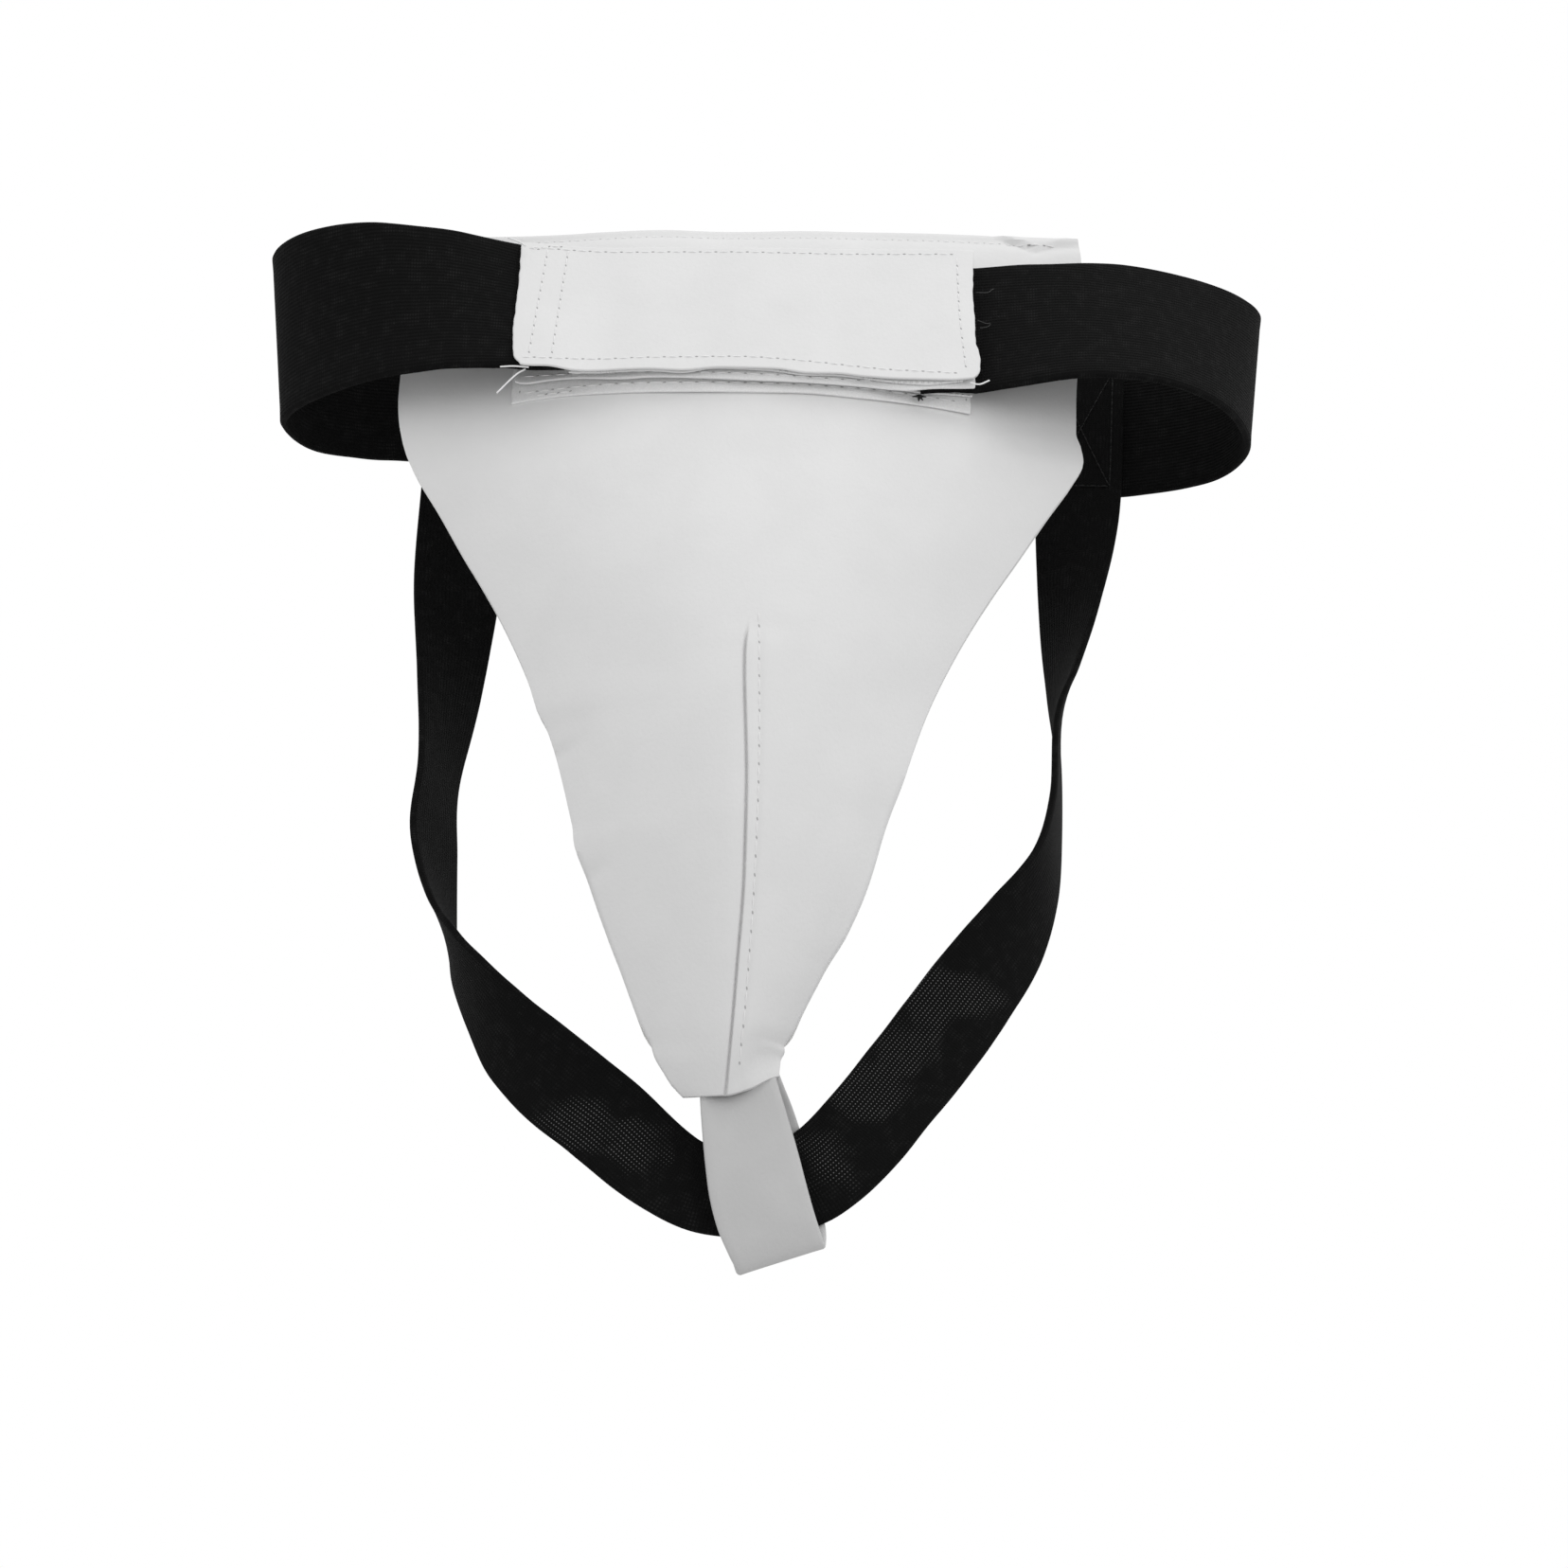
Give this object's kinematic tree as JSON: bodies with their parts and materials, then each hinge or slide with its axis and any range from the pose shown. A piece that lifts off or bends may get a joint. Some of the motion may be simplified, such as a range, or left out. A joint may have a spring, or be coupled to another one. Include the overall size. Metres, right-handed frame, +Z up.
{
  "type": "groin protector",
  "caption": "Padded groin guard with a tapering leather-look shell over a hard cup, a wide elastic waistband that closes in front with a hook-and-loop flap, and an elastic leg strap.",
  "frame": {"origin": "middle of the waist loop, where the wearer's waist passes through it", "axes": "+Z up along the wearer's body, -Y the way the wearer faces, +X to the wearer's left hand side"},
  "size_m": [0.2293, 0.0706, 0.2407],
  "materials": {
    "cover_leather": "smooth white leather-look sheet with a low sheen",
    "tab_leather": "pale grey-white leather-look strip, low sheen",
    "lining_cloth": "plain white brushed lining",
    "white_tape": "white hook-and-loop tape",
    "waist_elastic": "black woven elastic with fine lengthwise ribs",
    "leg_elastic": "black ribbed elastic, slightly open weave",
    "foam": "soft open-cell foam",
    "cup_plastic": "moulded white plastic"
  },
  "bodies": {
    "shell": {"front_cover": "cover_leather", "front_foam": "foam", "hard_cup": "cup_plastic", "rear_foam": "foam", "back_lining": "lining_cloth", "shell_loop_tape": "white_tape", "waist_elastic_left_side": "waist_elastic", "waist_elastic_right_side": "waist_elastic", "leg_elastic_left_side": "leg_elastic", "leg_elastic_right_side": "leg_elastic"},
    "flap": {"flap_skin": "cover_leather", "flap_hook_tape": "white_tape", "waist_elastic_left_end": "waist_elastic"},
    "belt_end": {"belt_end_loop_tape": "white_tape", "belt_end_hook_tape": "white_tape", "waist_elastic_right_end": "waist_elastic"},
    "waist_back": {"waist_elastic_back": "waist_elastic", "leg_elastic_left_end": "leg_elastic", "leg_elastic_right_end": "leg_elastic"},
    "crotch": {"crotch_tab": "tab_leather", "leg_elastic_crotch": "leg_elastic"}
  },
  "joints": [
    {"name": "flap_peel", "type": "hinge", "parent": "shell", "child": "flap", "pos_m": [-0.062, -0.028, 0], "axis": [0, -0.15, -0.9887], "range_deg": [0, 130]},
    {"name": "belt_end_peel", "type": "hinge", "parent": "shell", "child": "belt_end", "pos_m": [0.053, -0.0205, 0], "axis": [0, 0.2, 0.9798], "range_deg": [0, 20]},
    {"name": "waist_stretch", "type": "slide", "parent": "shell", "child": "waist_back", "axis": [0, 1, 0], "range_m": [0, 0.045], "stiffness_N_per_m": 200, "deforming": ["waist_elastic_left_side", "waist_elastic_right_side", "leg_elastic_left_side", "leg_elastic_right_side"]},
    {"name": "crotch_swing", "type": "hinge", "parent": "shell", "child": "crotch", "pos_m": [0, -0.014, -0.1785], "axis": [1, 0, 0], "range_deg": [-20, 60], "stiffness_Nm_per_rad": 0.2}
  ],
  "couplings": [
    {"joint": "belt_end_peel", "follows": "flap_peel", "ratio": 0.15}
  ]
}
